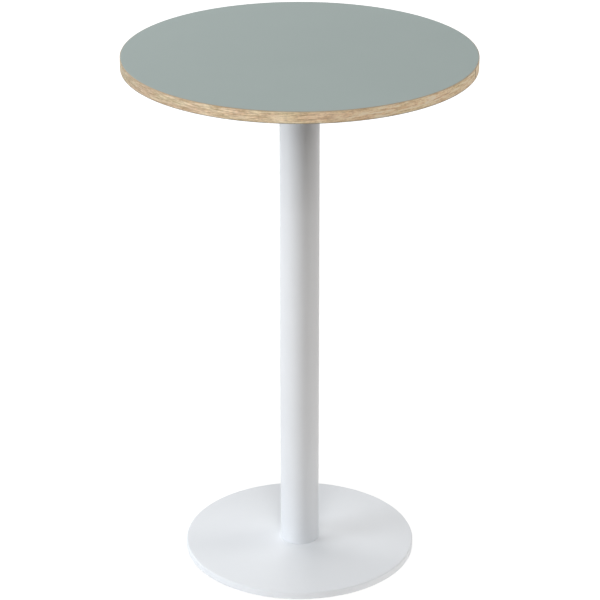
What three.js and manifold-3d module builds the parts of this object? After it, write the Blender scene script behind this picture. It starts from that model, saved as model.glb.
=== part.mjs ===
// Standing meeting table: a round laminate top with an oak edge, on a white steel column and disc base.
// Millimetres, +Z up. The origin is on the floor, on the column's axis.
import * as THREE from 'three';
import { mergeVertices } from 'three/addons/utils/BufferGeometryUtils.js';
import Module from 'manifold-3d';

const wasm = await Module();
wasm.setup();

// Overall sizes
const TABLE_HEIGHT = 1090;
const TOP_DIAMETER = 700;
const COLUMN_DIAMETER = 80;
const BASE_DIAMETER = 480;

// Tabletop sandwich, from the surface down
const LAMINATE_THICKNESS = 0.8;
const BOARD_THICKNESS = 22;
const BACKING_THICKNESS = 0.8;
const GLUE_LINE = 0.1;

// Solid oak lipping round the board, and the easing of the top's two arrises
const LIPPING_WIDTH = 5;
const LIPPING_SEAM = 0.4;
const LIPPING_SEAM_DEGREES = -16;
const EDGE_ARRIS = 1.2;

// Square mounting plate under the top
const PLATE_SIZE = 280;
const PLATE_THICKNESS = 6;
const PLATE_CORNER_RADIUS = 30;
const PLATE_SCREW_EDGE = 25;

// Column tube, and the two discs welded into its ends
const COLUMN_WALL = 2;
const HEAD_PLUG_THICKNESS = 12;
const BASE_PLUG_THICKNESS = 15;
const PLUG_WELD_GAP = 0.1;
const PLUG_SCREW_EDGE = 13;

// Base plate
const BASE_THICKNESS = 15;
const BASE_ARRIS = 3;
const BASE_CHAMFER = 1;
const FLOOR_GAP = 3.5;

// M6 button-head screws, and the threaded inserts that they enter
const BUTTON_THREAD = 6;
const BUTTON_HEAD_DIAMETER = 10.5;
const BUTTON_HEAD_HEIGHT = 3.3;
const BUTTON_SOCKET = 4;
const BUTTON_SOCKET_DEPTH = 2;
const INSERT_DIAMETER = 10;
const INSERT_COVER = 8;

// M8 countersunk screws
const COUNTERSUNK_THREAD = 8;
const COUNTERSUNK_HEAD_DIAMETER = 16;
const COUNTERSUNK_HEAD_LAND = 0.5;
const COUNTERSUNK_SOCKET = 5;
const COUNTERSUNK_SOCKET_DEPTH = 2.5;

// Levelling glides: an M8 stud with a fluted nylon pad
const GLIDE_EDGE = 30;
const GLIDE_FIRST_DEGREES = 45;
const GLIDE_THREAD = 8;
const GLIDE_SKIN = 3;
const PAD_DIAMETER = 26;
const PAD_SOLE = 1.4;
const PAD_FLUTES = 12;
const PAD_FLUTE_DEPTH = 0.8;

// Clearances and thread ends
const SEAT_GAP = 0.1;
const THREAD_CLEARANCE = 0.15;
const HOLE_CLEARANCE = 0.5;
const TIP_GAP = 1;
const TIP_CHAMFER = 0.8;

// Numbers in each set
const PLUG_SCREWS = 4;
const GLIDES = 4;

// Facets round each kind of circle, and steps round an arris, a plate corner and a pad's flute
const DISC_SEGMENTS = 72;
const COLUMN_SEGMENTS = 48;
const SCREW_SEGMENTS = 16;
const ARRIS_STEPS = 3;
const CORNER_STEPS = 6;
const FLUTE_STEPS = 4;

// How far a cutting tool runs past the face that it opens
const CUT_OVERRUN = 1;

// Finishes
const GREY_GREEN_LAMINATE = { color: 0xa0aba8, roughness: 0.7, metalness: 0 };
const OAK = { color: 0xc9b18f, roughness: 0.6, metalness: 0 };
const BIRCH_CORE = { color: 0xcdb58e, roughness: 0.8, metalness: 0 };
const GREY_BACKING = { color: 0x9aa09e, roughness: 0.8, metalness: 0 };
const WHITE_POWDER_COAT = { color: 0xe6e9ec, roughness: 0.45, metalness: 0 };
const BARE_STEEL = { color: 0x8d9093, roughness: 0.5, metalness: 0.9 };
const ZINC = { color: 0xb9bcc0, roughness: 0.35, metalness: 0.9 };
const BRASS = { color: 0xb99a56, roughness: 0.4, metalness: 0.9 };
const GREY_NYLON = { color: 0x6f7274, roughness: 0.6, metalness: 0 };

// Heights in the tabletop, measured from its surface
const boardTop = -LAMINATE_THICKNESS - GLUE_LINE;
const boardBottom = boardTop - BOARD_THICKNESS;
const backingTop = boardBottom - GLUE_LINE;
const topUnderside = backingTop - BACKING_THICKNESS;

// Heights in the pedestal, measured from the floor
const baseTop = FLOOR_GAP + BASE_THICKNESS;
const columnBottom = baseTop + SEAT_GAP;
const plateTop = TABLE_HEIGHT + topUnderside - SEAT_GAP;
const plateBottom = plateTop - PLATE_THICKNESS;
const columnTop = plateBottom - SEAT_GAP;

// Radii that follow from the sizes above
const topRadius = TOP_DIAMETER / 2;
const boardRadius = topRadius - LIPPING_WIDTH - GLUE_LINE;
const columnRadius = COLUMN_DIAMETER / 2;
const columnBore = columnRadius - COLUMN_WALL;
const baseRadius = BASE_DIAMETER / 2;

// Screw and glide places
const plateScrewOffset = PLATE_SIZE / 2 - PLATE_SCREW_EDGE;
const plateScrewPlaces = [
  [-1, -1], [0, -1], [1, -1], [1, 0], [1, 1], [0, 1], [-1, 1], [-1, 0],
].map(([across, along]) => [across * plateScrewOffset, along * plateScrewOffset]);
const plugScrewPlaces = placesOnCircle(PLUG_SCREWS, columnBore - PLUG_SCREW_EDGE, 0);
const glidePlaces = placesOnCircle(GLIDES, baseRadius - GLIDE_EDGE, GLIDE_FIRST_DEGREES);

// Insert and stud lengths
const insertLength = BOARD_THICKNESS - INSERT_COVER;
const buttonReach = TABLE_HEIGHT + boardBottom - plateBottom + insertLength - TIP_GAP;
const headScrewLength = PLATE_THICKNESS + SEAT_GAP + HEAD_PLUG_THICKNESS - TIP_GAP;
const baseScrewLength = BASE_THICKNESS + SEAT_GAP + BASE_PLUG_THICKNESS - TIP_GAP;
const padThickness = FLOOR_GAP - SEAT_GAP;
const studBottom = PAD_SOLE + SEAT_GAP;
const studLength = baseTop - GLIDE_SKIN - TIP_GAP - studBottom;

// Centres of a ring of equal parts, from a first direction counted from +X
function placesOnCircle(count, radius, firstDegrees) {
  const places = [];
  for (let i = 0; i < count; i += 1) {
    const angle = THREE.MathUtils.degToRad(firstDegrees + (360 * i) / count);
    places.push([radius * Math.cos(angle), radius * Math.sin(angle)]);
  }
  return places;
}

// A profile of [radius, height] points turned round the Z axis
function revolve(profile, segments) {
  const points = profile.map(([radius, height]) => new THREE.Vector2(radius, height));
  return new THREE.LatheGeometry(points, segments).rotateX(Math.PI / 2);
}

// A plain round bar between two heights
function bar(radius, bottom, top, segments) {
  return revolve([[0, bottom], [radius, bottom], [radius, top], [0, top]], segments);
}

// A straight-walled ring between two heights
function ring(inner, outer, bottom, top, segments) {
  return revolve([[inner, bottom], [outer, bottom], [outer, top], [inner, top], [inner, bottom]], segments);
}

// A six-sided bar along Z, sunk from height 0 by the depth of a hex socket
function hexSocket(acrossFlats, depth) {
  const socket = new THREE.CylinderGeometry(
    acrossFlats / Math.sqrt(3), acrossFlats / Math.sqrt(3), depth + CUT_OVERRUN, 6);
  return socket.rotateX(Math.PI / 2).translate(0, 0, (CUT_OVERRUN - depth) / 2);
}

// Copies of one cutting tool at a list of places
function atEach(places, tool) {
  return places.map(([x, y]) => tool.clone().translate(x, y, 0));
}

// A geometry's triangles as a closed solid with shared corners
function solid(geometry) {
  const bare = geometry.clone();
  bare.deleteAttribute('normal');
  bare.deleteAttribute('uv');
  const merged = mergeVertices(bare);
  const corners = merged.index.array;
  const kept = [];
  for (let i = 0; i < corners.length; i += 3) {
    const [a, b, c] = corners.slice(i, i + 3);
    if (a !== b && b !== c && c !== a) kept.push(a, b, c);
  }
  const mesh = new wasm.Mesh({
    numProp: 3,
    vertProperties: merged.attributes.position.array,
    triVerts: new Uint32Array(kept),
  });
  return new wasm.Manifold(mesh);
}

// A body with tools cut away, as a flat-shaded geometry
function cut(body, tools) {
  let left = solid(body);
  for (const tool of tools) left = left.subtract(solid(tool));
  const mesh = left.getMesh();
  const geometry = new THREE.BufferGeometry();
  geometry.setAttribute('position', new THREE.BufferAttribute(mesh.vertProperties, 3));
  geometry.setIndex(new THREE.BufferAttribute(mesh.triVerts, 1));
  const facets = geometry.toNonIndexed();
  facets.computeVertexNormals();
  return facets;
}

// One named piece in its group
function piece(group, name, geometry, finish) {
  const mesh = new THREE.Mesh(geometry, new THREE.MeshStandardMaterial(finish));
  mesh.name = name;
  group.add(mesh);
  return mesh;
}

// A numbered piece at each place of a list
function pieceAtEach(group, name, places, height, geometry, finish) {
  return places.map(([x, y], i) => {
    const mesh = piece(group, `${name}_${i + 1}`, geometry, finish);
    mesh.position.set(x, y, height);
    return mesh;
  });
}

// The tabletop's outside radius at a height, with both arrises rounded over
function rimRadius(height) {
  const fromFace = Math.min(-height, height - topUnderside);
  const roundedOff = Math.max(EDGE_ARRIS - fromFace, 0);
  return topRadius - EDGE_ARRIS + Math.sqrt(EDGE_ARRIS ** 2 - roundedOff ** 2);
}

// The tabletop's rim between two heights, upwards
function rimProfile(bottom, top) {
  const steps = [];
  for (let i = 0; i <= ARRIS_STEPS; i += 1) {
    const drop = EDGE_ARRIS * (1 - Math.sin((Math.PI / 2) * (i / ARRIS_STEPS)));
    steps.push(-drop, topUnderside + drop);
  }
  const between = steps.filter((height) => height > bottom && height < top).sort((a, b) => a - b);
  return [bottom, ...between, top].map((height) => [rimRadius(height), height]);
}

// A full disc of the tabletop between two heights
function rimDisc(bottom, top) {
  return revolve([[0, bottom], ...rimProfile(bottom, top), [0, top]], DISC_SEGMENTS);
}

// Solid oak ring with the hairline joint where its two ends meet
function lippingGeometry() {
  const inner = topRadius - LIPPING_WIDTH;
  const profile = [[inner, boardBottom], ...rimProfile(boardBottom, boardTop), [inner, boardTop]];
  const seam = new THREE.BoxGeometry(4 * LIPPING_WIDTH, LIPPING_SEAM, 2 * BOARD_THICKNESS);
  seam.translate(topRadius - LIPPING_WIDTH / 2, 0, (boardTop + boardBottom) / 2);
  seam.rotateZ(THREE.MathUtils.degToRad(LIPPING_SEAM_DEGREES));
  return cut(revolve([...profile, profile[0]], DISC_SEGMENTS), [seam]);
}

// Board with a blind pocket for each insert
function boardGeometry() {
  const pocketRadius = INSERT_DIAMETER / 2 + THREAD_CLEARANCE;
  const pocketTop = boardBottom + insertLength + SEAT_GAP;
  const pocket = bar(pocketRadius, boardBottom - CUT_OVERRUN, pocketTop, SCREW_SEGMENTS);
  return cut(bar(boardRadius, boardBottom, boardTop, DISC_SEGMENTS), atEach(plateScrewPlaces, pocket));
}

// Backing sheet, drilled with the board's pockets
function backingGeometry() {
  const holeRadius = INSERT_DIAMETER / 2 + THREAD_CLEARANCE;
  const hole = bar(holeRadius, topUnderside - CUT_OVERRUN, backingTop + CUT_OVERRUN, SCREW_SEGMENTS);
  return cut(rimDisc(topUnderside, backingTop), atEach(plateScrewPlaces, hole));
}

// Countersunk clearance hole, opening upwards at height 0 and running down past a depth
function countersink(depth) {
  const headRadius = COUNTERSUNK_HEAD_DIAMETER / 2 + SEAT_GAP;
  const holeRadius = COUNTERSUNK_THREAD / 2 + HOLE_CLEARANCE;
  const coneBottom = -COUNTERSUNK_HEAD_LAND - (headRadius - holeRadius);
  return revolve([
    [0, -depth - CUT_OVERRUN],
    [holeRadius, -depth - CUT_OVERRUN],
    [holeRadius, coneBottom],
    [headRadius, -COUNTERSUNK_HEAD_LAND],
    [headRadius, CUT_OVERRUN],
    [0, CUT_OVERRUN],
  ], SCREW_SEGMENTS);
}

// Rounded square plate from height 0 down, with the countersunk and the plain screw holes
function mountingPlateGeometry() {
  const straight = PLATE_SIZE / 2 - PLATE_CORNER_RADIUS;
  const outline = new THREE.Shape();
  outline.absarc(straight, straight, PLATE_CORNER_RADIUS, 0, Math.PI / 2);
  outline.absarc(-straight, straight, PLATE_CORNER_RADIUS, Math.PI / 2, Math.PI);
  outline.absarc(-straight, -straight, PLATE_CORNER_RADIUS, Math.PI, 1.5 * Math.PI);
  outline.absarc(straight, -straight, PLATE_CORNER_RADIUS, 1.5 * Math.PI, 2 * Math.PI);
  const flat = { depth: PLATE_THICKNESS, bevelEnabled: false, curveSegments: CORNER_STEPS };
  const blank = new THREE.ExtrudeGeometry(outline, flat).translate(0, 0, -PLATE_THICKNESS);
  const holeRadius = BUTTON_THREAD / 2 + HOLE_CLEARANCE;
  const hole = bar(holeRadius, -PLATE_THICKNESS - CUT_OVERRUN, CUT_OVERRUN, SCREW_SEGMENTS);
  return cut(blank, [
    ...atEach(plateScrewPlaces, hole),
    ...atEach(plugScrewPlaces, countersink(PLATE_THICKNESS)),
  ]);
}

// Disc that closes one end of the tube, tapped for the countersunk screws
function plugGeometry(thickness) {
  const radius = columnBore - PLUG_WELD_GAP;
  const holeRadius = COUNTERSUNK_THREAD / 2 + THREAD_CLEARANCE;
  const hole = bar(holeRadius, -CUT_OVERRUN, thickness + CUT_OVERRUN, SCREW_SEGMENTS);
  return cut(bar(radius, 0, thickness, COLUMN_SEGMENTS), atEach(plugScrewPlaces, hole));
}

// Countersunk screw with its flat head at height 0 and its thread downwards
function countersunkScrewGeometry(length) {
  const shank = COUNTERSUNK_THREAD / 2;
  const head = COUNTERSUNK_HEAD_DIAMETER / 2;
  const body = revolve([
    [0, -length],
    [shank - TIP_CHAMFER, -length],
    [shank, TIP_CHAMFER - length],
    [shank, -COUNTERSUNK_HEAD_LAND - (head - shank)],
    [head, -COUNTERSUNK_HEAD_LAND],
    [head, 0],
    [0, 0],
  ], SCREW_SEGMENTS);
  return cut(body, [hexSocket(COUNTERSUNK_SOCKET, COUNTERSUNK_SOCKET_DEPTH)]);
}

// Button-head screw with its head's seat at height 0, its dome upwards and its thread downwards
function buttonScrewGeometry(reach) {
  const shank = BUTTON_THREAD / 2;
  const head = BUTTON_HEAD_DIAMETER / 2;
  const flat = BUTTON_SOCKET / Math.sqrt(3);
  const dome = [];
  for (let i = 0; i <= ARRIS_STEPS; i += 1) {
    const angle = (Math.PI / 2) * (i / ARRIS_STEPS);
    dome.push([flat + (head - flat) * Math.cos(angle), BUTTON_HEAD_HEIGHT * Math.sin(angle)]);
  }
  const body = revolve([
    [0, -reach],
    [shank - TIP_CHAMFER, -reach],
    [shank, TIP_CHAMFER - reach],
    [shank, 0],
    ...dome,
    [0, BUTTON_HEAD_HEIGHT],
  ], SCREW_SEGMENTS);
  const socket = hexSocket(BUTTON_SOCKET, BUTTON_SOCKET_DEPTH).translate(0, 0, BUTTON_HEAD_HEIGHT);
  return cut(body, [socket]);
}

// Base plate with a rounded upper arris, countersunk from below and drilled blind for the glides
function basePlateGeometry() {
  const profile = [
    [0, FLOOR_GAP],
    [baseRadius - BASE_CHAMFER, FLOOR_GAP],
    [baseRadius, FLOOR_GAP + BASE_CHAMFER],
  ];
  for (let i = 0; i <= ARRIS_STEPS; i += 1) {
    const angle = (Math.PI / 2) * (i / ARRIS_STEPS);
    const inset = BASE_ARRIS * (1 - Math.cos(angle));
    profile.push([baseRadius - inset, baseTop - BASE_ARRIS + BASE_ARRIS * Math.sin(angle)]);
  }
  profile.push([0, baseTop]);
  const screwHole = countersink(BASE_THICKNESS).rotateX(Math.PI).translate(0, 0, FLOOR_GAP);
  const studHole = bar(
    GLIDE_THREAD / 2 + THREAD_CLEARANCE, FLOOR_GAP - CUT_OVERRUN, baseTop - GLIDE_SKIN, SCREW_SEGMENTS);
  return cut(revolve(profile, DISC_SEGMENTS), [
    ...atEach(plugScrewPlaces, screwHole),
    ...atEach(glidePlaces, studHole),
  ]);
}

// Fluted pad standing on height 0, with a blind hole for its stud
function padGeometry() {
  const points = [];
  for (let i = 0; i < PAD_FLUTES * FLUTE_STEPS; i += 1) {
    const angle = (2 * Math.PI * i) / (PAD_FLUTES * FLUTE_STEPS);
    const dip = (PAD_FLUTE_DEPTH * (1 - Math.cos(PAD_FLUTES * angle))) / 2;
    const radius = PAD_DIAMETER / 2 - dip;
    points.push(new THREE.Vector2(radius * Math.cos(angle), radius * Math.sin(angle)));
  }
  const flat = { depth: padThickness, bevelEnabled: false };
  const disc = new THREE.ExtrudeGeometry(new THREE.Shape(points), flat);
  const hole = bar(GLIDE_THREAD / 2 + SEAT_GAP, PAD_SOLE, padThickness + CUT_OVERRUN, SCREW_SEGMENTS);
  return cut(disc, [hole]);
}

// Threaded stud from its seat in the pad to its end in the base plate
function studGeometry() {
  const radius = GLIDE_THREAD / 2;
  return revolve([
    [0, 0],
    [radius, 0],
    [radius, studLength - TIP_CHAMFER],
    [radius - TIP_CHAMFER, studLength],
    [0, studLength],
  ], SCREW_SEGMENTS);
}

// Tabletop, hung from its surface
const tabletop = new THREE.Group();
tabletop.position.z = TABLE_HEIGHT;
piece(tabletop, 'top_laminate', rimDisc(-LAMINATE_THICKNESS, 0), GREY_GREEN_LAMINATE);
piece(tabletop, 'top_board', boardGeometry(), BIRCH_CORE);
piece(tabletop, 'oak_lipping', lippingGeometry(), OAK);
piece(tabletop, 'top_backing', backingGeometry(), GREY_BACKING);
const insertBore = BUTTON_THREAD / 2 + THREAD_CLEARANCE;
const insert = ring(insertBore, INSERT_DIAMETER / 2, 0, insertLength, SCREW_SEGMENTS);
pieceAtEach(tabletop, 'top_insert', plateScrewPlaces, boardBottom, insert, BRASS);

// Column with its mounting plate, plugs and screws
const column = new THREE.Group();
const mountingPlate = piece(column, 'mounting_plate', mountingPlateGeometry(), WHITE_POWDER_COAT);
mountingPlate.position.z = plateTop;
const tube = ring(columnBore, columnRadius, columnBottom, columnTop, COLUMN_SEGMENTS);
piece(column, 'column_tube', tube, WHITE_POWDER_COAT);
const headPlug = piece(column, 'head_plug', plugGeometry(HEAD_PLUG_THICKNESS), BARE_STEEL);
headPlug.position.z = columnTop - HEAD_PLUG_THICKNESS;
const basePlug = piece(column, 'base_plug', plugGeometry(BASE_PLUG_THICKNESS), BARE_STEEL);
basePlug.position.z = columnBottom;
const headScrew = countersunkScrewGeometry(headScrewLength);
pieceAtEach(column, 'head_screw', plugScrewPlaces, plateTop, headScrew, ZINC);
const topScrews = pieceAtEach(
  column, 'top_screw', plateScrewPlaces, plateBottom - SEAT_GAP, buttonScrewGeometry(buttonReach), ZINC);
for (const screw of topScrews) screw.rotation.x = Math.PI;

// Base with its screws and glides
const base = new THREE.Group();
piece(base, 'base_plate', basePlateGeometry(), WHITE_POWDER_COAT);
const baseScrew = countersunkScrewGeometry(baseScrewLength);
const baseScrews = pieceAtEach(base, 'base_screw', plugScrewPlaces, FLOOR_GAP, baseScrew, ZINC);
for (const screw of baseScrews) screw.rotation.x = Math.PI;
pieceAtEach(base, 'glide_stud', glidePlaces, studBottom, studGeometry(), ZINC);
pieceAtEach(base, 'glide_pad', glidePlaces, 0, padGeometry(), GREY_NYLON);

const table = new THREE.Group();
table.add(tabletop, column, base);
export default table;
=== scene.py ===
import math
import bmesh
import bpy
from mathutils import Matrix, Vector


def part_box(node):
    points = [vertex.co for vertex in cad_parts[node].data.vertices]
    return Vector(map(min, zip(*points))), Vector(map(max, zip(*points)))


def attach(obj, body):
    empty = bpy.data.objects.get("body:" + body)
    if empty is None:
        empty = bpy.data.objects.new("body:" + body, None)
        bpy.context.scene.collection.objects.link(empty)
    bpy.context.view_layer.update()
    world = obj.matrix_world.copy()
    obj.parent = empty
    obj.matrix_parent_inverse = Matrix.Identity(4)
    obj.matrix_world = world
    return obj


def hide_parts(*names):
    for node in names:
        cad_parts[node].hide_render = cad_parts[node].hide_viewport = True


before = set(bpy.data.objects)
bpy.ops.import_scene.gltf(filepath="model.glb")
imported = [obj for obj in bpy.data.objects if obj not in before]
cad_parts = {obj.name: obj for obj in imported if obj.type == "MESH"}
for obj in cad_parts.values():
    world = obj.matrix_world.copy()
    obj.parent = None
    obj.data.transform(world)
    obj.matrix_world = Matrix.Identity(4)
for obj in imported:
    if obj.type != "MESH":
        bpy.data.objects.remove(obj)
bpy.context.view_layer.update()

fullTurn = 2 * math.pi
quarterTurn = math.pi / 2
weldDistance = 0.000001
drillPast = 0.001  # how far a drill runs past the face it starts from


# helpers for node trees, geometry and shader alike
def plug(tree, socket, value):
    if isinstance(value, bpy.types.NodeSocket):
        tree.links.new(value, socket)
    else:
        socket.default_value = value


def put(tree, kind, inputs=None, **settings):
    made = tree.nodes.new(kind)
    for key, value in settings.items():
        setattr(made, key, value)
    for socket, value in (inputs or {}).items():
        plug(tree, made.inputs[socket], value)
    return made


def take(tree, kind, inputs=None, output=0, **settings):
    return put(tree, kind, inputs, **settings).outputs[output]


def calc(tree, operation, *values):
    return take(tree, "ShaderNodeMath", dict(enumerate(values)), operation=operation)


def plus(tree, first, second):
    return calc(tree, "ADD", first, second)


def minus(tree, first, second):
    return calc(tree, "SUBTRACT", first, second)


def times(tree, first, second):
    return calc(tree, "MULTIPLY", first, second)


def over(tree, first, second):
    return calc(tree, "DIVIDE", first, second)


def vec(tree, x, y, z):
    return take(tree, "ShaderNodeCombineXYZ", {0: x, 1: y, 2: z})


def split(tree, vector):
    return put(tree, "ShaderNodeSeparateXYZ", {0: vector}).outputs


# helpers for geometry trees
def startTree(name, inputs):
    tree = bpy.data.node_groups.new(name, "GeometryNodeTree")
    tree.interface.new_socket("Mesh", in_out="OUTPUT", socket_type="NodeSocketGeometry")
    for label, kind in inputs.items():
        tree.interface.new_socket(label, in_out="INPUT", socket_type="NodeSocket" + kind)
    return tree, put(tree, "NodeGroupInput").outputs


def endTree(tree, mesh, material, sharpDegrees=28.0):
    # realize, smooth all but the sharp edges, and give the finish
    angle = take(tree, "GeometryNodeInputMeshEdgeAngle", output="Unsigned Angle")
    sharp = calc(tree, "GREATER_THAN", angle, math.radians(sharpDegrees))
    real = take(tree, "GeometryNodeRealizeInstances", {"Geometry": mesh})
    smooth = take(tree, "GeometryNodeSetShadeSmooth", {"Geometry": real, "Shade Smooth": True}, domain="FACE")
    creased = take(tree, "GeometryNodeSetShadeSmooth",
                   {"Geometry": smooth, "Selection": sharp, "Shade Smooth": False}, domain="EDGE")
    finished = take(tree, "GeometryNodeSetMaterial", {"Geometry": creased, "Material": material})
    put(tree, "NodeGroupOutput", {0: finished})


def unitSheet(tree, sides, rows):
    return take(tree, "GeometryNodeMeshGrid", {
        "Size X": 1.0, "Size Y": 1.0, "Vertices X": plus(tree, sides, 1.0), "Vertices Y": rows})


def polar(tree, reach, angle, height):
    x = times(tree, reach, calc(tree, "COSINE", angle))
    y = times(tree, reach, calc(tree, "SINE", angle))
    return vec(tree, x, y, height)


def moved(tree, mesh, offset):
    return take(tree, "GeometryNodeTransform", {"Geometry": mesh, "Translation": offset})


def placed(tree, mesh, positions):
    return take(tree, "GeometryNodeSetPosition", {"Geometry": mesh, "Position": positions})


def welded(tree, mesh):
    return take(tree, "GeometryNodeMergeByDistance", {"Geometry": mesh, "Distance": weldDistance})


def cut(tree, mesh, cutter, solver):
    return take(tree, "GeometryNodeMeshBoolean", {"Mesh 1": mesh, "Mesh 2": cutter}, "Mesh",
                operation="DIFFERENCE", solver=solver)


def buildPiece(name, material, *stages, blank=None):
    # run the trees once, in turn, and keep the result as a plain mesh at the origin
    piece = bpy.data.objects.new(name, blank or bpy.data.meshes.new(name))
    bpy.context.scene.collection.objects.link(piece)
    for tree, values in stages:
        build = piece.modifiers.new(tree.name, "NODES")
        build.node_group = tree
        for socket in tree.interface.items_tree:
            if socket.in_out == "INPUT" and socket.socket_type != "NodeSocketGeometry":
                build[socket.identifier] = material if socket.name == "Material" else values[socket.name]
    evaluated = piece.evaluated_get(bpy.context.evaluated_depsgraph_get())
    mesh = bpy.data.meshes.new_from_object(evaluated)
    piece.modifiers.clear()
    piece.data = mesh
    mesh.name = name
    mesh.materials.clear()
    mesh.materials.append(material)
    return piece


def dress(piece, body, slot, *nodes):
    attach(piece, body)
    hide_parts(*nodes)
    print("piece:", piece.name, len(piece.data.polygons), "faces")


def axisOf(low, high):
    return ((low.x + high.x) / 2, (low.y + high.y) / 2, 0.0)


# helpers for shaders
def startMaterial(name):
    material = bpy.data.materials.new(name)
    material.use_nodes = True
    return material, material.node_tree


def endMaterial(tree, look, color, texture, relief=None):
    # roughness follows the texture, and so does the bump where no relief is given
    shader = tree.nodes["Principled BSDF"]
    plug(tree, shader.inputs["Base Color"], color)
    plug(tree, shader.inputs["Roughness"], remap(tree, texture, *look["roughSpan"]))
    plug(tree, shader.inputs["Normal"], bump(tree, texture if relief is None else relief, *look["bump"]))
    plug(tree, shader.inputs["Specular IOR Level"], look.get("specular", 0.5))
    plug(tree, shader.inputs["Metallic"], look.get("metallic", 0.0))


def objectPlace(tree):
    return take(tree, "ShaderNodeTexCoord", output="Object")


def stretch(tree, vector, factors):
    return take(tree, "ShaderNodeVectorMath", {0: vector, 1: factors}, operation="MULTIPLY")


def noise(tree, vector, perMetre, detail=2.0, roughness=0.5):
    if isinstance(perMetre, tuple):  # a scale of its own for each axis
        vector, perMetre = stretch(tree, vector, perMetre), 1.0
    return take(tree, "ShaderNodeTexNoise", {
        "Vector": vector, "Scale": perMetre, "Detail": detail, "Roughness": roughness}, "Fac")


def remap(tree, value, fromLow, fromHigh, toLow=0.0, toHigh=1.0):
    return take(tree, "ShaderNodeMapRange", {0: value, 1: fromLow, 2: fromHigh, 3: toLow, 4: toHigh})


def mixTones(tree, first, second, firstShare):
    return plus(tree, times(tree, first, firstShare), times(tree, second, 1.0 - firstShare))


def blendColor(tree, factor, first, second, blend="MIX"):
    return take(tree, "ShaderNodeMix", {0: factor, 6: first, 7: second}, 2,
                data_type="RGBA", blend_type=blend)


def bump(tree, height, strength, distance):
    return take(tree, "ShaderNodeBump", {"Height": height, "Strength": strength, "Distance": distance})


def rgb(red, green, blue):
    return (red, green, blue, 1.0)


# finishes: a noise is scale per metre, detail and roughness, a bump is strength and depth,
# and a span is the range that is read and the range it becomes, 0 to 1 where none is given
laminateLook = {
    "light": rgb(0.375, 0.442, 0.427),
    "dark": rgb(0.355, 0.420, 0.407),
    "core": rgb(0.47, 0.375, 0.265),
    "decorDepth": 0.00022,
    "speck": (1100.0, 3.0, 0.6),
    "cloud": (6.0, 2.0),
    "speckShare": 0.7,
    "toneSpan": (0.35, 0.65),
    "roughSpan": (0.3, 0.7, 0.5, 0.62),
    "bump": (0.12, 0.0002),
    "specular": 0.35,
}


def laminateFinish(surfaceHeight):
    look = laminateLook
    material, tree = startMaterial("greyGreenLaminate")
    place = objectPlace(tree)
    speck = noise(tree, place, *look["speck"])
    tone = mixTones(tree, speck, noise(tree, place, *look["cloud"]), look["speckShare"])
    decor = blendColor(tree, remap(tree, tone, *look["toneSpan"]), look["dark"], look["light"])
    height = split(tree, place)["Z"]
    coreShows = calc(tree, "LESS_THAN", height, surfaceHeight - look["decorDepth"])  # on the bevelled rim
    endMaterial(tree, look, blendColor(tree, coreShows, decor, look["core"]), speck)
    return material


oakLook = {
    "pale": rgb(0.90, 0.76, 0.57),
    "mid": rgb(0.63, 0.488, 0.325),
    "latewood": rgb(0.47, 0.332, 0.204),
    "palest": rgb(0.985, 0.855, 0.67),
    "fleck": rgb(0.78, 0.635, 0.45),
    "pore": rgb(0.19, 0.118, 0.064),
    "pinkCast": rgb(1.03, 0.965, 0.94),
    "yellowCast": rgb(1.0, 1.03, 0.97),
    "filler": rgb(0.17, 0.115, 0.065),
    # painted shade along both eased arrises
    "arris": rgb(0.30, 0.20, 0.115),
    "sway": ((7.0, 35.0, 20.0), 3.0),
    "swaySpan": (0.0, 1.0, -0.003, 0.003),
    "rings": ((26.0, 340.0, 120.0), 3.0, 0.6),
    "fibres": ((70.0, 1300.0, 600.0), 4.0, 0.6),
    "boards": ((14.0, 60.0, 1.0), 2.0),
    "ringShare": 0.75,
    "midSpan": (0.4, 0.55),
    "latewoodSpan": (0.54, 0.68, 0.0, 0.9),
    "rays": (70.0, 330.0, 200.0),
    "raySpan": (0.12, 0.3, 1.0, 0.0),
    "rayBoardSpan": (0.45, 0.62, 0.0, 0.7),
    "dashes": ((190.0, 2600.0, 900.0), 2.0),
    "dashSpan": (0.6, 0.7, 0.0, 0.75),
    "dashRingSpan": (0.4, 0.6, 0.25, 1.0),
    "castSpan": (0.35, 0.65),
    "stripLength": 2.199,
    # painted light and shade: the strip's tone by place along it, darkest on the left, palest on the right
    "paintedSideTone": [(0.0, 0.98), (0.29, 0.7), (0.54, 0.45), (0.61, 0.465), (0.67, 0.57), (0.79, 0.84), (0.87, 1.0)],
    "paintedSideGain": 1.33,
    "figure": ((150.0, 360.0, 150.0), 2.0),
    "figureSpan": (0.36, 0.64, 0.87, 1.11),
    "fillerSpan": (0.001, 0.007, 1.0, 0.0),
    "patch": ((160.0, 190.0, 1.0), 2.0),
    "patchSpan": (0.4, 0.55, 0.1, 0.75),
    "arrisShadeSpan": (0.0002, 0.002, 0.34, 0.0),
    "roughSpan": (0.3, 0.7, 0.48, 0.64),
    "fibreRelief": 0.5,
    "bump": (0.35, 0.00025),
    "specular": 0.25,
}


def paintedSideLight(tree, along):
    # painted light and shade along the strip: darker on the left and back, where the lamps light it more,
    # lighter on the right front and right, where they light it less
    paintedSideTone = put(tree, "ShaderNodeValToRGB", {0: over(tree, along, oakLook["stripLength"])})
    stops = paintedSideTone.color_ramp.elements
    for i, (position, shade) in enumerate(oakLook["paintedSideTone"]):
        stop = stops[0] if i == 0 else stops.new(position)
        stop.position = position
        stop.color = rgb(shade, shade, shade)
    stops[-1].color = stops[-2].color
    return times(tree, paintedSideTone.outputs[0], oakLook["paintedSideGain"])


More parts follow.
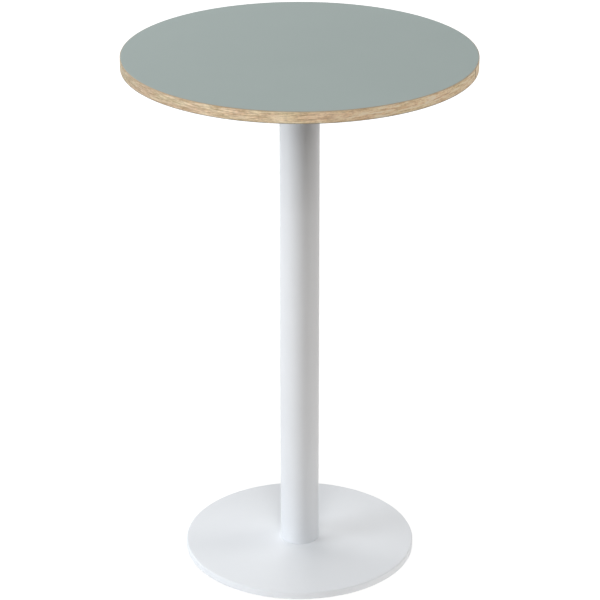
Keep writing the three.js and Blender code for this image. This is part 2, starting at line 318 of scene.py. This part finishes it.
def oakFinish(low, high):
    # the grain attribute holds metres along the strip, height and radius
    look = oakLook
    material, tree = startMaterial("lacqueredOak")
    grain = take(tree, "ShaderNodeAttribute", output="Vector", attribute_name="grain")
    along, height, depth = split(tree, grain)
    sway = remap(tree, noise(tree, grain, *look["sway"]), *look["swaySpan"])
    strip = vec(tree, along, plus(tree, height, sway), depth)
    rings = noise(tree, strip, *look["rings"])
    fibres = noise(tree, strip, *look["fibres"])
    boards = noise(tree, grain, *look["boards"])
    tone = mixTones(tree, rings, fibres, look["ringShare"])
    wood = blendColor(tree, remap(tree, tone, *look["midSpan"]), look["pale"], look["mid"])
    wood = blendColor(tree, remap(tree, tone, *look["latewoodSpan"]), wood, look["latewood"])
    # short ray flecks and open pores
    rays = take(tree, "ShaderNodeTexVoronoi",
                {"Vector": stretch(tree, strip, look["rays"]), "Scale": 1.0}, "Distance")
    fleck = times(tree, remap(tree, rays, *look["raySpan"]), remap(tree, boards, *look["rayBoardSpan"]))
    wood = blendColor(tree, fleck, wood, look["fleck"])
    dashes = noise(tree, strip, *look["dashes"])
    pore = times(tree, remap(tree, dashes, *look["dashSpan"]), remap(tree, rings, *look["dashRingSpan"]))
    wood = blendColor(tree, pore, wood, look["pore"])
    # warmer and cooler boards, the painted light and shade along the strip, and a mottled figure
    cast = blendColor(tree, remap(tree, boards, *look["castSpan"]), look["pinkCast"], look["yellowCast"])
    wood = blendColor(tree, 1.0, wood, cast, "MULTIPLY")
    mottle = remap(tree, noise(tree, strip, *look["figure"]), *look["figureSpan"])
    wood = blendColor(tree, 1.0, wood, times(tree, paintedSideLight(tree, along), mottle), "MULTIPLY")
    wood = blendColor(tree, 1.0, wood, look["palest"], "DARKEN")
    # dark filler worked into the joint where the two ends meet
    toEnd = calc(tree, "MINIMUM", along, minus(tree, look["stripLength"], along))
    patch = noise(tree, grain, *look["patch"])
    filled = times(tree, remap(tree, toEnd, *look["fillerSpan"]), remap(tree, patch, *look["patchSpan"]))
    wood = blendColor(tree, filled, wood, look["filler"])
    # painted shade: both eased arrises are darkened a little
    edge = calc(tree, "MINIMUM", minus(tree, height, low), minus(tree, high, height))
    wood = blendColor(tree, remap(tree, edge, *look["arrisShadeSpan"]), wood, look["arris"])
    relief = minus(tree, times(tree, fibres, look["fibreRelief"]), pore)
    endMaterial(tree, look, wood, fibres, relief)
    return material


coatLook = {
    "light": rgb(0.827, 0.849, 0.878),
    "dark": rgb(0.797, 0.818, 0.846),
    "peel": (1300.0, 2.0, 0.45),
    "cloud": (9.0, 3.0),
    "peelShare": 0.5,
    "toneSpan": (0.3, 0.7),
    "roughSpan": (0.3, 0.7, 0.34, 0.44),
    "bump": (0.1, 0.00015),
}


def powderCoatFinish():
    look = coatLook
    material, tree = startMaterial("whitePowderCoat")
    place = objectPlace(tree)
    peel = noise(tree, place, *look["peel"])
    tone = mixTones(tree, peel, noise(tree, place, *look["cloud"]), look["peelShare"])
    coat = blendColor(tree, remap(tree, tone, *look["toneSpan"]), look["dark"], look["light"])
    endMaterial(tree, look, coat, peel)
    return material


plyLook = {
    "pale": rgb(0.66, 0.50, 0.31),
    "dark": rgb(0.40, 0.25, 0.13),
    "pliesPerMetre": 620.0,
    "plyShare": 0.3,
    "fibre": ((12.0, 260.0, 900.0), 4.0),
    "toneSpan": (0.2, 0.8),
    "roughSpan": (0.3, 0.7, 0.7, 0.85),
    "bump": (0.3, 0.0003),
}


def plyFinish():
    look = plyLook
    material, tree = startMaterial("birchPly")
    place = objectPlace(tree)
    layer = calc(tree, "SINE", times(tree, split(tree, place)["Z"], look["pliesPerMetre"] * math.pi))
    fibre = noise(tree, place, *look["fibre"])
    tone = plus(tree, times(tree, layer, look["plyShare"]), fibre)
    wood = blendColor(tree, remap(tree, tone, *look["toneSpan"]), look["pale"], look["dark"])
    endMaterial(tree, look, wood, fibre)
    return material


# plain metals and plastics, each with one fine speck
plastic = {"toneSpan": (0.3, 0.7), "bump": (0.2, 0.0002)}
metal = {"toneSpan": (0.3, 0.7), "bump": (0.08, 0.0001), "metallic": 1.0}
backingLook = {
    "light": rgb(0.30, 0.33, 0.325), "dark": rgb(0.25, 0.275, 0.27), "speck": (700.0, 3.0, 0.55),
    "roughSpan": (0.3, 0.7, 0.55, 0.7), **plastic}
zincLook = {
    "light": rgb(0.66, 0.67, 0.69), "dark": rgb(0.5, 0.51, 0.53), "speck": (1600.0, 4.0, 0.65),
    "roughSpan": (0.3, 0.7, 0.28, 0.42), **metal}
steelLook = {
    "light": rgb(0.42, 0.42, 0.43), "dark": rgb(0.3, 0.3, 0.31), "speck": (900.0, 4.0, 0.65),
    "roughSpan": (0.3, 0.7, 0.35, 0.5), **metal}
brassLook = {
    "light": rgb(0.62, 0.45, 0.2), "dark": rgb(0.5, 0.35, 0.15), "speck": (1200.0, 4.0, 0.65),
    "roughSpan": (0.3, 0.7, 0.3, 0.42), **metal}
nylonLook = {
    "light": rgb(0.2, 0.205, 0.21), "dark": rgb(0.16, 0.165, 0.17), "speck": (1500.0, 3.0, 0.55),
    "roughSpan": (0.3, 0.7, 0.45, 0.6), **plastic}


def speckedFinish(name, look):
    material, tree = startMaterial(name)
    speck = noise(tree, objectPlace(tree), *look["speck"])
    color = blendColor(tree, remap(tree, speck, *look["toneSpan"]), look["dark"], look["light"])
    endMaterial(tree, look, color, speck)
    return material


lipLow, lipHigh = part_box("oak_lipping")
laminateLow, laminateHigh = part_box("top_laminate")
backingLow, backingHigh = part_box("top_backing")

finishes = {
    "laminate": laminateFinish(laminateHigh.z),
    "oak": oakFinish(lipLow.z, lipHigh.z),
    "coat": powderCoatFinish(),
    "ply": plyFinish(),
    "backing": speckedFinish("greyBacking", backingLook),
    "zinc": speckedFinish("zincPlate", zincLook),
    "steel": speckedFinish("turnedSteel", steelLook),
    "brass": speckedFinish("turnedBrass", brassLook),
    "nylon": speckedFinish("greyNylon", nylonLook),
}
print("finishes made:", len(finishes))


# turned pieces: a four-cornered section with eased outer corners, swept round the Z axis
def turningTree():
    tree, given = startTree("turnedPiece", {
        "Inner Radius": "Float", "Outer Radius": "Float", "Upper Radius": "Float", "Bottom": "Float",
        "Top": "Float", "Lower Easing": "Float", "Upper Easing": "Float", "Easing Steps": "Int",
        "Corners": "Int", "Sides": "Int", "First Angle": "Float", "Sweep": "Float", "Material": "Material",
    })
    inner, outer, low, high = (given[label] for label in ("Inner Radius", "Outer Radius", "Bottom", "Top"))
    corners = put(tree, "GeometryNodeIndexSwitch", data_type="VECTOR")
    easing = put(tree, "GeometryNodeIndexSwitch", data_type="FLOAT")
    section = [(inner, low), (outer, low), (given["Upper Radius"], high), (inner, high), (inner, low)]
    radii = [0.0, given["Lower Easing"], given["Upper Easing"], 0.0, 0.0]
    for i, ((reach, height), radius) in enumerate(zip(section, radii)):
        if i > 1:  # the switches have their first two items from the start
            corners.index_switch_items.new()
            easing.index_switch_items.new()
        plug(tree, corners.inputs[i + 1], vec(tree, reach, 0.0, height))
        plug(tree, easing.inputs[i + 1], radius)
    index = take(tree, "GeometryNodeInputIndex")
    for chooser in (corners, easing):
        plug(tree, chooser.inputs["Index"], index)
    line = take(tree, "GeometryNodeMeshLine", {"Count": given["Corners"]})
    curve = take(tree, "GeometryNodeMeshToCurve", {"Mesh": line})
    eased = take(tree, "GeometryNodeFilletCurve", {
        "Curve": placed(tree, curve, corners.outputs[0]), "Count": given["Easing Steps"],
        "Radius": easing.outputs[0], "Limit Radius": True}, mode="POLY")
    count = take(tree, "GeometryNodeAttributeDomainSize", {"Geometry": eased}, "Point Count",
                 component="CURVE")
    where = take(tree, "GeometryNodeInputPosition")
    across, up, _ = split(tree, where)
    turn = times(tree, plus(tree, across, 0.5), given["Sweep"])
    row = times(tree, plus(tree, up, 0.5), minus(tree, count, 1.0))
    sample = take(tree, "GeometryNodeSampleIndex", {
        "Geometry": eased, "Value": where, "Index": calc(tree, "ROUND", row)}, data_type="FLOAT_VECTOR")
    reach, _, height = split(tree, sample)
    marked = take(tree, "GeometryNodeStoreNamedAttribute", {
        "Geometry": unitSheet(tree, given["Sides"], count), "Name": "grain",
        "Value": vec(tree, times(tree, turn, outer), height, reach)}, data_type="FLOAT_VECTOR")
    swept = placed(tree, marked, polar(tree, reach, plus(tree, turn, given["First Angle"]), height))
    endTree(tree, welded(tree, swept), given["Material"])
    return tree


turning = turningTree()
ringCorners = 5  # a ring's section closes on itself, a disc's ends on the axis
discCorners = 4
wholeDisc = {"Inner Radius": 0.0, "Corners": discCorners, "First Angle": 0.0, "Sweep": fullTurn}


def turnedSizes(outer, low, high, inner=0.0, upper=None, lowerEasing=0.0, upperEasing=0.0, steps=6, sides=256,
                firstAngle=0.0, sweep=fullTurn):
    return {
        "Inner Radius": inner, "Outer Radius": outer, "Upper Radius": outer if upper is None else upper,
        "Bottom": low, "Top": high, "Lower Easing": lowerEasing, "Upper Easing": upperEasing,
        "Easing Steps": steps, "Corners": ringCorners if inner else discCorners, "Sides": sides,
        "First Angle": firstAngle, "Sweep": sweep}


# a ring of holes through a piece, plain or countersunk
def drillTree():
    tree, given = startTree("drilledRing", {
        "Blank": "Geometry", "Holes": "Int", "Ring Radius": "Float", "First Angle": "Float",
        "Lower Radius": "Float", "Upper Radius": "Float", "Bottom": "Float", "Top": "Float",
        "Sides": "Int", "Material": "Material",
    })
    drill = take(tree, "GeometryNodeMeshCone", {
        "Vertices": given["Sides"], "Radius Top": given["Upper Radius"],
        "Radius Bottom": given["Lower Radius"], "Depth": minus(tree, given["Top"], given["Bottom"])}, "Mesh")
    ring = take(tree, "GeometryNodeMeshCircle", {"Vertices": given["Holes"], "Radius": given["Ring Radius"]})
    turnedRing = take(tree, "GeometryNodeTransform", {
        "Geometry": ring, "Translation": vec(tree, 0.0, 0.0, given["Bottom"]),
        "Rotation": vec(tree, 0.0, 0.0, given["First Angle"])})
    drills = take(tree, "GeometryNodeInstanceOnPoints", {"Points": turnedRing, "Instance": drill})
    real = take(tree, "GeometryNodeRealizeInstances", {"Geometry": drills})
    endTree(tree, cut(tree, given["Blank"], real, "MANIFOLD"), given["Material"])
    return tree


drilling = drillTree()


def holes(ringRadius, firstAngle, low, high, lowerRadius, upperRadius=None, count=4, sides=40):
    return drilling, {
        "Holes": count, "Ring Radius": ringRadius, "First Angle": firstAngle, "Bottom": low, "Top": high,
        "Lower Radius": lowerRadius, "Upper Radius": lowerRadius if upperRadius is None else upperRadius,
        "Sides": sides}


# tabletop: bevelled laminate over board and oak lipping, with a grey backing below
table = {
    "easing": 0.0012,
    "easingSteps": 6,
    "sides": 384,
    "seamDegrees": -16.0,
    "seamWidth": 0.0004,
    "lippingWidth": 0.005,
    "laminateBevel": 0.0019,
    "bevelEasing": 0.0004,
    "backingEasing": 0.99,  # share of the backing's thickness
}


def tabletop():
    rim = lipHigh.x
    sheet = laminateHigh.z - laminateLow.z
    rest = table["easing"] - sheet  # what is left of the arris on the oak
    rounded = {"steps": table["easingSteps"], "sides": table["sides"]}
    top = buildPiece("laminateSheet", finishes["laminate"], (turning, turnedSizes(
        rim, laminateLow.z, laminateHigh.z, upper=rim - table["laminateBevel"],
        upperEasing=table["bevelEasing"], **rounded)))
    dress(top, "table", "laminate", "top_laminate")
    gap = table["seamWidth"] / rim
    first = math.radians(table["seamDegrees"]) + gap / 2
    oak = buildPiece("oakLipping", finishes["oak"], (turning, turnedSizes(
        rim, lipLow.z, lipHigh.z, inner=rim - table["lippingWidth"], lowerEasing=rest, upperEasing=rest,
        firstAngle=first, sweep=fullTurn - gap, **rounded)))
    shell = bmesh.new()
    shell.from_mesh(oak.data)
    ends = [edge for edge in shell.edges if edge.is_boundary]
    bmesh.ops.holes_fill(shell, edges=ends, sides=0)  # the two butt ends at the joint
    bmesh.ops.recalc_face_normals(shell, faces=shell.faces)
    shell.to_mesh(oak.data)
    shell.free()
    dress(oak, "table", "oak", "oak_lipping")
    back = buildPiece("backingSheet", finishes["backing"], (turning, turnedSizes(
        rim, backingLow.z, backingHigh.z, lowerEasing=table["backingEasing"] * sheet, **rounded)))
    dress(back, "table", "backing", "top_backing")


tabletop()


# mounting plate: a rounded square, drilled for the top screws and countersunk for the head screws
plate = {
    "cornerRadius": 0.03,
    "cornerSteps": 16,
    "easing": 0.0008,
    "easingSteps": 4,
    "screwSpread": 0.115,
    "screwHole": 0.0035,
    "plugRing": 0.025,
    "plugHole": 0.0045,
    "plugHead": 0.0081,
    "headDepth": 0.0041,
}


def easedSquare(shell, half, inset, height):
    # one level loop of the plate's outline
    radius, steps = plate["cornerRadius"], plate["cornerSteps"]
    reach = radius - inset
    loop = []
    for corner in range(4):
        middle = quarterTurn / 2 + corner * quarterTurn
        x = math.copysign(half - radius, math.cos(middle))
        y = math.copysign(half - radius, math.sin(middle))
        for i in range(steps + 1):
            angle = corner * quarterTurn + quarterTurn * i / steps
            loop.append(shell.verts.new((x + reach * math.cos(angle), y + reach * math.sin(angle), height)))
    return loop


def plateBlank(low, high):
    easing, steps = plate["easing"], plate["easingSteps"]
    curve = [quarterTurn * i / steps for i in range(steps + 1)]
    section = []
    for end, sign in ((low.z, 1.0), (high.z, -1.0)):
        arc = [(easing * (1 - math.sin(a)), end + sign * easing * (1 - math.cos(a))) for a in curve]
        section += arc if sign > 0 else arc[::-1]
    shell = bmesh.new()
    loops = [easedSquare(shell, high.x, inset, height) for inset, height in section]
    for lower, upper in zip(loops, loops[1:]):
        for i in range(len(lower)):
            j = (i + 1) % len(lower)
            shell.faces.new((lower[i], lower[j], upper[j], upper[i]))
    shell.faces.new(loops[0][::-1])
    shell.faces.new(loops[-1])
    mesh = bpy.data.meshes.new("plateBlank")
    shell.to_mesh(mesh)
    shell.free()
    return mesh


def mountingPlate():
    low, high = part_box("mounting_plate")
    under, above = low.z - drillPast, high.z + drillPast
    corner = plate["screwSpread"] * math.sqrt(2)
    piece = buildPiece(
        "mountingPlate", finishes["coat"],
        holes(plate["screwSpread"], 0.0, under, above, plate["screwHole"]),
        holes(corner, quarterTurn / 2, under, above, plate["screwHole"]),
        holes(plate["plugRing"], 0.0, under, above, plate["plugHole"]),
        holes(plate["plugRing"], 0.0, high.z - plate["headDepth"], above,
              plate["plugHead"] - plate["headDepth"], plate["plugHead"] + drillPast),
        blank=plateBlank(low, high))
    dress(piece, "table", "white_coat", "mounting_plate")


mountingPlate()


# column: a round tube between mounting plate and base
column = {"wall": 0.002, "easing": 0.0003, "easingSteps": 3, "sides": 192}


def columnTube():
    low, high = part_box("column_tube")
    tube = buildPiece("columnTube", finishes["coat"], (turning, turnedSizes(
        high.x, low.z, high.z, inner=high.x - column["wall"], lowerEasing=column["easing"],
        upperEasing=column["easing"], steps=column["easingSteps"], sides=column["sides"])))
    dress(tube, "table", "white_coat", "column_tube")


columnTube()


# base plate: a turned disc with a rounded upper arris, countersunk and drilled from below
base = {
    "upperEasing": 0.003,
    "lowerEasing": 0.001,
    "easingSteps": 8,
    "sides": 384,
    "screwRing": 0.025,
    "screwHole": 0.0045,
    "screwHead": 0.0081,
    "headDepth": 0.0041,
    "glideHole": 0.00415,
    "glideSkin": 0.003,
}


def basePlate():
    low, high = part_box("base_plate")
    under, above = low.z - drillPast, high.z + drillPast
    padLow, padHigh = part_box("glide_pad_1")
    glide = (padLow + padHigh) / 2
    piece = buildPiece(
        "basePlate", finishes["coat"],
        (turning, turnedSizes(high.x, low.z, high.z, lowerEasing=base["lowerEasing"],
                              upperEasing=base["upperEasing"], steps=base["easingSteps"],
                              sides=base["sides"])),
        holes(base["screwRing"], 0.0, under, above, base["screwHole"]),
        holes(base["screwRing"], 0.0, under, low.z + base["headDepth"],
              base["screwHead"] + drillPast, base["screwHead"] - base["headDepth"]),
        holes(math.hypot(glide.x, glide.y), quarterTurn / 2, under, high.z - base["glideSkin"],
              base["glideHole"]))
    dress(piece, "table", "white_coat", "base_plate")


basePlate()


# hexagon-socket screws, head downwards, one on each point of the blank
def screwTree():
    tree, given = startTree("socketScrews", {
        "Places": "Geometry", "Head Radius": "Float", "Neck Radius": "Float", "Head Bottom": "Float",
        "Head Top": "Float", "Head Sides": "Int", "Dome": "Float", "Dome Steps": "Int",
        "Shank Radius": "Float", "Shank Top": "Float", "Shank Sides": "Int", "Tip Easing": "Float",
        "Socket Radius": "Float", "Socket Depth": "Float", "Socket Sides": "Int", "Seed": "Int",
        "Material": "Material",
    })
    head = take(tree, "GeometryNodeGroup", {
        "Outer Radius": given["Head Radius"], "Upper Radius": given["Neck Radius"],
        "Bottom": given["Head Bottom"], "Top": given["Head Top"], "Lower Easing": given["Dome"],
        "Upper Easing": 0.0, "Easing Steps": given["Dome Steps"], "Sides": given["Head Sides"],
        **wholeDisc}, node_tree=turning)
    shank = take(tree, "GeometryNodeGroup", {
        "Outer Radius": given["Shank Radius"], "Upper Radius": given["Shank Radius"],
        "Bottom": given["Head Top"], "Top": given["Shank Top"], "Lower Easing": 0.0,
        "Upper Easing": given["Tip Easing"], "Easing Steps": 1, "Sides": given["Shank Sides"],
        **wholeDisc}, node_tree=turning)
    broach = take(tree, "GeometryNodeMeshCylinder", {
        "Vertices": given["Socket Sides"], "Radius": given["Socket Radius"],
        "Depth": times(tree, given["Socket Depth"], 2.0)}, "Mesh")
    seated = moved(tree, broach, vec(tree, 0.0, 0.0, given["Head Bottom"]))
    screw = put(tree, "GeometryNodeJoinGeometry")
    for mesh in (shank, cut(tree, head, seated, "EXACT")):
        tree.links.new(mesh, screw.inputs[0])
    spin = take(tree, "FunctionNodeRandomValue", {3: fullTurn, "Seed": given["Seed"]}, 1, data_type="FLOAT")
    screws = take(tree, "GeometryNodeInstanceOnPoints", {
        "Points": given["Places"], "Instance": screw.outputs[0], "Rotation": vec(tree, 0.0, 0.0, spin)})
    endTree(tree, screws, given["Material"])
    return tree


socketScrews = screwTree()
screwFacets = {"Head Sides": 48, "Dome Steps": 7, "Shank Sides": 24, "Tip Easing": 0.0008, "Socket Sides": 6}
buttonScrew = {
    "Head Radius": 0.00525, "Neck Radius": 0.00525, "Head Height": 0.0033, "Dome": 0.0027,
    "Shank Radius": 0.003, "Socket Radius": 0.0023, "Socket Depth": 0.002, "Seed": 4, **screwFacets}
countersunkScrew = {
    "Head Radius": 0.008, "Neck Radius": 0.004, "Head Height": 0.0045, "Dome": 0.0003,
    "Shank Radius": 0.004, "Socket Radius": 0.0029, "Socket Depth": 0.0025, "Seed": 9, **screwFacets}


def screwSet(name, nodes, sizes):
    boxes = [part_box(node) for node in nodes]
    places = bpy.data.meshes.new(name + "Places")
    places.from_pydata([axisOf(low, high) for low, high in boxes], [], [])
    low, high = boxes[0]
    heights = {"Head Bottom": low.z, "Head Top": low.z + sizes["Head Height"], "Shank Top": high.z}
    screws = buildPiece(name, finishes["zinc"], (socketScrews, {**sizes, **heights}), blank=places)
    dress(screws, "table", "zinc", *nodes)


screwSet("topScrews", [f"top_screw_{i}" for i in range(1, 9)], buttonScrew)
screwSet("baseScrews", [f"base_screw_{i}" for i in range(1, 5)], countersunkScrew)


# levelling glides: a fluted pad and its threaded stud, each on its own body
glidePad = {
    "Radius": 0.013, "Easing": 0.0005, "Easing Steps": 4, "Flutes": 12, "Flute Depth": 0.0008,
    "Flute Steps": 20, "Bore Radius": 0.0041, "Bore Sides": 32, "Sole": 0.0014}
glideStud = {
    "Radius": 0.004, "Thread Depth": 0.00065, "Pitch": 0.00125, "Chamfer": 0.0008, "Sides": 32, "Rows": 107,
    "Sharp Degrees": 50.0}


def padTree():
    tree, given = startTree("flutedPad", {
        "Radius": "Float", "Bottom": "Float", "Top": "Float", "Easing": "Float", "Easing Steps": "Int",
        "Flutes": "Int", "Flute Depth": "Float", "Flute Steps": "Int", "Bore Radius": "Float",
        "Bore Sides": "Int", "Sole": "Float", "Centre": "Vector", "Material": "Material",
    })
    disc = take(tree, "GeometryNodeGroup", {
        "Outer Radius": given["Radius"], "Upper Radius": given["Radius"], "Bottom": given["Bottom"],
        "Top": given["Top"], "Lower Easing": given["Easing"], "Upper Easing": given["Easing"],
        "Easing Steps": given["Easing Steps"], "Sides": times(tree, given["Flutes"], given["Flute Steps"]),
        **wholeDisc}, node_tree=turning)
    x, y, z = split(tree, take(tree, "GeometryNodeInputPosition"))
    angle = calc(tree, "ARCTAN2", y, x)
    wave = minus(tree, 1.0, calc(tree, "COSINE", times(tree, angle, given["Flutes"])))
    dip = times(tree, times(tree, wave, 0.5), given["Flute Depth"])
    draw = minus(tree, 1.0, over(tree, dip, given["Radius"]))
    fluted = placed(tree, disc, vec(tree, times(tree, x, draw), times(tree, y, draw), z))
    bore = take(tree, "GeometryNodeMeshCylinder", {
        "Vertices": given["Bore Sides"], "Radius": given["Bore Radius"], "Depth": given["Top"]}, "Mesh")
    lift = plus(tree, times(tree, given["Top"], 0.5), given["Sole"])
    bored = cut(tree, fluted, moved(tree, bore, vec(tree, 0.0, 0.0, lift)), "EXACT")
    endTree(tree, moved(tree, bored, given["Centre"]), given["Material"])
    return tree


def studTree():
    tree, given = startTree("threadedStud", {
        "Radius": "Float", "Thread Depth": "Float", "Pitch": "Float", "Chamfer": "Float", "Bottom": "Float",
        "Top": "Float", "Sides": "Int", "Rows": "Int", "Centre": "Vector", "Material": "Material",
    })
    across, up, _ = split(tree, take(tree, "GeometryNodeInputPosition"))
    turn = plus(tree, across, 0.5)
    last = minus(tree, given["Rows"], 1.0)
    row = calc(tree, "ROUND", times(tree, plus(tree, up, 0.5), last))
    # the first and the last row close the ends on the axis
    rise = take(tree, "ShaderNodeClamp", {0: over(tree, minus(tree, row, 1.0), minus(tree, last, 2.0))})
    length = minus(tree, given["Top"], given["Bottom"])
    climb = times(tree, rise, length)
    phase = calc(tree, "FRACT", minus(tree, over(tree, climb, given["Pitch"]), turn))
    flank = calc(tree, "ABSOLUTE", minus(tree, times(tree, phase, 2.0), 1.0))
    thread = minus(tree, given["Radius"], times(tree, flank, given["Thread Depth"]))
    fromEnd = calc(tree, "MINIMUM", climb, minus(tree, length, climb))
    cone = plus(tree, minus(tree, given["Radius"], given["Chamfer"]), fromEnd)
    inside = times(tree, calc(tree, "GREATER_THAN", row, 0.5),
                   calc(tree, "LESS_THAN", row, minus(tree, last, 0.5)))
    reach = times(tree, calc(tree, "MINIMUM", thread, cone), inside)
    helix = polar(tree, reach, times(tree, turn, fullTurn), plus(tree, climb, given["Bottom"]))
    rod = welded(tree, placed(tree, unitSheet(tree, given["Sides"], given["Rows"]), helix))
    endTree(tree, moved(tree, rod, given["Centre"]), given["Material"], glideStud["Sharp Degrees"])
    return tree


def glides():
    flutedPad = padTree()
    threadedStud = studTree()
    for i in range(1, 5):
        low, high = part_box(f"glide_pad_{i}")
        centre = axisOf(low, high)
        pad = buildPiece(f"glidePad{i}", finishes["nylon"], (
            flutedPad, {**glidePad, "Bottom": low.z, "Top": high.z, "Centre": centre}))
        dress(pad, f"glide_{i}_pad", "nylon", f"glide_pad_{i}")
        low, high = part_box(f"glide_stud_{i}")
        stud = buildPiece(f"glideStud{i}", finishes["zinc"], (
            threadedStud, {**glideStud, "Bottom": low.z, "Top": high.z, "Centre": centre}))
        dress(stud, f"glide_{i}_stud", "zinc", f"glide_stud_{i}")


glides()


# solids inside the table that keep their CAD shape
keptSolids = {"top_board": "ply", "head_plug": "steel", "base_plug": "steel"}
keptSolids.update({f"top_insert_{i}": "brass" for i in range(1, 9)})
keptSolids.update({f"head_screw_{i}": "zinc" for i in range(1, 5)})
for node, finish in keptSolids.items():
    for materialSlot in bpy.data.objects[node].material_slots:
        materialSlot.material = finishes[finish]
print("kept solids:", len(keptSolids))


# camera at the photograph's place
viewpoint = {
    "place": (0.0008, -4.4529, 2.5093), "pitch": 0.4118, "lens": 143.15, "sensor": 36.0, "clipEnd": 100.0}


def setCamera():
    lens = bpy.data.cameras.new("tableView")
    lens.lens = viewpoint["lens"]
    lens.sensor_width = viewpoint["sensor"]
    lens.clip_end = viewpoint["clipEnd"]
    camera = bpy.data.objects.new("tableView", lens)
    camera.location = viewpoint["place"]
    camera.rotation_euler = (quarterTurn - viewpoint["pitch"], 0.0, 0.0)
    bpy.context.scene.collection.objects.link(camera)
    bpy.context.scene.camera = camera


# pale floor: white where it is seen, and for all other light a bounce that is lit at the right
studioFloor = {
    "radius": 14.0,
    "sides": 96,
    "white": rgb(0.34, 0.34, 0.34),
    "glowSpan": (1.0, 3.2, 0.8, 1.0),
    "paperBounce": rgb(0.95, 0.93, 0.91),
    "shadeBounce": rgb(0.60, 0.59, 0.58),
    "shadeSpan": (-0.25, 0.15),
    "roomBounce": rgb(0.42, 0.365, 0.315),
    "roomSpan": (0.32, 0.7),
    "cardSpan": (0.3, 0.5, 0.28, 0.0),
}


def seenDirectly(tree):
    path = put(tree, "ShaderNodeLightPath").outputs
    seen = calc(tree, "MAXIMUM", path["Is Camera Ray"], path["Is Glossy Ray"])
    return calc(tree, "MAXIMUM", seen, path["Is Transmission Ray"])


def floorFinish():
    look = studioFloor
    material, tree = startMaterial("studioFloor")
    tree.nodes.clear()
    place = objectPlace(tree)
    reach = take(tree, "ShaderNodeVectorMath", {0: place}, "Value", operation="LENGTH")
    outward = remap(tree, reach, *look["roomSpan"])  # white paper, then the room
    rightward = remap(tree, split(tree, place)["X"], *look["shadeSpan"])
    near = blendColor(tree, rightward, look["shadeBounce"], look["paperBounce"])
    dull = take(tree, "ShaderNodeBsdfDiffuse", {"Color": blendColor(tree, outward, near, look["roomBounce"])})
    card = times(tree, rightward, remap(tree, reach, *look["cardSpan"]))  # a card that lights the right side
    lit = take(tree, "ShaderNodeEmission", {"Strength": card})
    bounce = take(tree, "ShaderNodeAddShader", {0: dull, 1: lit})
    paper = take(tree, "ShaderNodeBsdfDiffuse", {"Color": look["white"]})
    glow = take(tree, "ShaderNodeEmission", {"Strength": remap(tree, reach, *look["glowSpan"])})
    white = take(tree, "ShaderNodeAddShader", {0: paper, 1: glow})  # the far floor meets the backdrop
    both = take(tree, "ShaderNodeMixShader", {0: seenDirectly(tree), 1: bounce, 2: white})
    clear = take(tree, "ShaderNodeBsdfTransparent")
    below = take(tree, "ShaderNodeNewGeometry", output="Backfacing")  # the floor is clear from below
    oneSided = take(tree, "ShaderNodeMixShader", {0: below, 1: both, 2: clear})
    put(tree, "ShaderNodeOutputMaterial", {"Surface": oneSided})
    return material


def setFloor():
    shell = bmesh.new()
    bmesh.ops.create_circle(shell, cap_ends=True, segments=studioFloor["sides"], radius=studioFloor["radius"])
    mesh = bpy.data.meshes.new("studioFloor")
    shell.to_mesh(mesh)
    shell.free()
    mesh.materials.append(floorFinish())
    floor = bpy.data.objects.new("studioFloor", mesh)
    bpy.context.scene.collection.objects.link(floor)


# soft studio light
studioLight = {
    "ambient": rgb(1.0, 0.98, 0.95),
    "ambientStrength": 0.03,
    "backdrop": rgb(1.0, 1.0, 1.0),
    "backdropStrength": 1.0,
    "softboxes": {
        "leftWall": {"place": (-3.1, -0.7, 1.3), "aim": (0.0, 0.0, 0.6), "size": (2.0, 2.6), "watts": 35.5,
                     "tint": (0.91, 0.955, 1.0)},
        "leftLow": {"place": (-2.8, -1.0, 0.5), "aim": (0.0, 0.0, 0.7), "size": (0.9, 1.4), "watts": 37.0,
                    "tint": (0.91, 0.955, 1.0)},
        "frontMid": {"place": (0.0, -3.9, 3.4), "aim": (0.0, 0.0, 0.6), "size": (2.0, 1.8), "watts": 67.0,
                     "tint": (1.0, 0.98, 0.955)},
        "frontHigh": {"place": (0.0, -2.7, 4.5), "aim": (0.0, 0.0, 0.3), "size": (2.5, 2.0), "watts": 50.0,
                      "tint": (1.0, 1.0, 1.0)},
        "backHigh": {"place": (-1.6, 2.7, 3.4), "aim": (0.0, 0.0, 0.3), "size": (4.0, 2.0), "watts": 96.0,
                     "tint": (1.0, 1.0, 1.0)},
        "rightBack": {"place": (3.0, 0.6, 1.2), "aim": (0.0, 0.0, 0.6), "size": (1.2, 2.2), "watts": 30.0,
                      "tint": (1.0, 0.985, 0.96)},
    },
}


def setWorld():
    world = bpy.data.worlds.new("studioAir")
    world.use_nodes = True
    tree = world.node_tree
    tree.nodes.clear()
    ambient, backdrop = (
        take(tree, "ShaderNodeBackground", {
            "Color": studioLight[part], "Strength": studioLight[part + "Strength"]})
        for part in ("ambient", "backdrop"))
    both = take(tree, "ShaderNodeMixShader", {0: seenDirectly(tree), 1: ambient, 2: backdrop})
    put(tree, "ShaderNodeOutputWorld", {"Surface": both})
    bpy.context.scene.world = world


def setSoftboxes():
    for name, box in studioLight["softboxes"].items():
        lamp = bpy.data.lights.new(name, "AREA")
        lamp.shape = "RECTANGLE"
        lamp.size, lamp.size_y = box["size"]
        lamp.energy = box["watts"]
        lamp.color = box["tint"]
        light = bpy.data.objects.new(name, lamp)
        light.location = box["place"]
        towards = Vector(box["aim"]) - Vector(box["place"])
        light.rotation_euler = towards.to_track_quat("-Z", "Y").to_euler()
        light.visible_camera = False
        light.visible_glossy = False  # gloss shows the white room, not the lamps
        bpy.context.scene.collection.objects.link(light)


setCamera()
setFloor()
setWorld()
setSoftboxes()
bpy.context.scene.view_settings.view_transform = "Standard"
print("studio set:", len(studioLight["softboxes"]), "softboxes")
